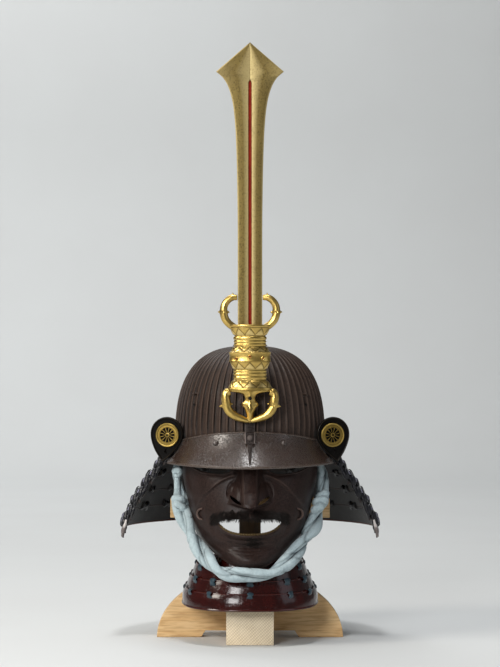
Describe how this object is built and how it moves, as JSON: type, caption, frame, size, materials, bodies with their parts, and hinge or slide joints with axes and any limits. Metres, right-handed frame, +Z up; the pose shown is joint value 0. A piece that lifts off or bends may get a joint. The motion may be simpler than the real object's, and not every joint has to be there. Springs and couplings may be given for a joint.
{
  "type": "samurai kabuto helmet with crest, half mask and throat guard on a wooden stand",
  "caption": "Ridged iron kabuto helmet with a tall sword crest, flared neck guard, half mask, throat guard and pale chin cord, on a plain wooden stand.",
  "frame": {"origin": "middle of the stand beam's width on its underside, below the line between the helmet's sides", "axes": "+Z up along the post and the crest, -Y the way the mask faces, +X to the viewer's right of the mask"},
  "size_m": [0.357, 0.3259, 0.805],
  "materials": {
    "russet_iron": "russet lacquered iron, satin",
    "peak_iron": "russet iron, lightly pitted and worn bright",
    "blade_brass": "aged, dull",
    "gilt": "gilt, burnished",
    "red_lacquer": "red lacquer",
    "black_lacquer": "black lacquered rawhide and leather, semi-gloss",
    "throat_lacquer": "red-brown lacquer, gloss",
    "lacing": "navy silk braid",
    "hair": "dark horsehair",
    "cord_cloth": "pale blue padded cloth",
    "wood": "plain planed softwood"
  },
  "bodies": {
    "root": {"bowl": "russet_iron", "crown_ring": "russet_iron", "cord_pin_left": "russet_iron", "cord_pin_right": "russet_iron", "peak": "peak_iron", "peak_rivet_left": "peak_iron", "peak_rivet_right": "peak_iron", "crest_bracket": "peak_iron", "bracket_rivet": "peak_iron", "crest_blade": "blade_brass", "blade_groove": "red_lacquer", "crest_hilt": "gilt", "hilt_stud_1": "gilt", "hilt_stud_2": "gilt", "hilt_stud_3": "gilt", "turnback_left": "black_lacquer", "turnback_right": "black_lacquer", "rosette_disc_left": "gilt", "rosette_disc_right": "gilt", "mask": "russet_iron", "moustache": "hair", "cheek_hook_left": "russet_iron", "cheek_hook_right": "russet_iron", "chin_peg_left": "russet_iron", "chin_peg_right": "russet_iron", "chin_cord_outer": "cord_cloth", "chin_cord_inner": "cord_cloth", "base_board": "wood", "base_beam": "wood", "post": "wood", "crossbar": "wood", "head_block": "wood", "neck_lame_1": "black_lacquer", "edge_lacing_left_1": "lacing", "edge_lacing_right_1": "lacing", "neck_lame_2": "black_lacquer", "edge_lacing_left_2": "lacing", "edge_lacing_right_2": "lacing", "neck_lame_3": "black_lacquer", "edge_lacing_left_3": "lacing", "edge_lacing_right_3": "lacing", "neck_lame_4": "black_lacquer", "edge_lacing_left_4": "lacing", "edge_lacing_right_4": "lacing", "neck_lame_5": "black_lacquer", "edge_lacing_left_5": "lacing", "edge_lacing_right_5": "lacing", "throat_lame_1": "throat_lacquer", "throat_lame_2": "throat_lacquer", "throat_lame_3": "throat_lacquer", "throat_lame_4": "throat_lacquer"}
  },
  "joints": []
}
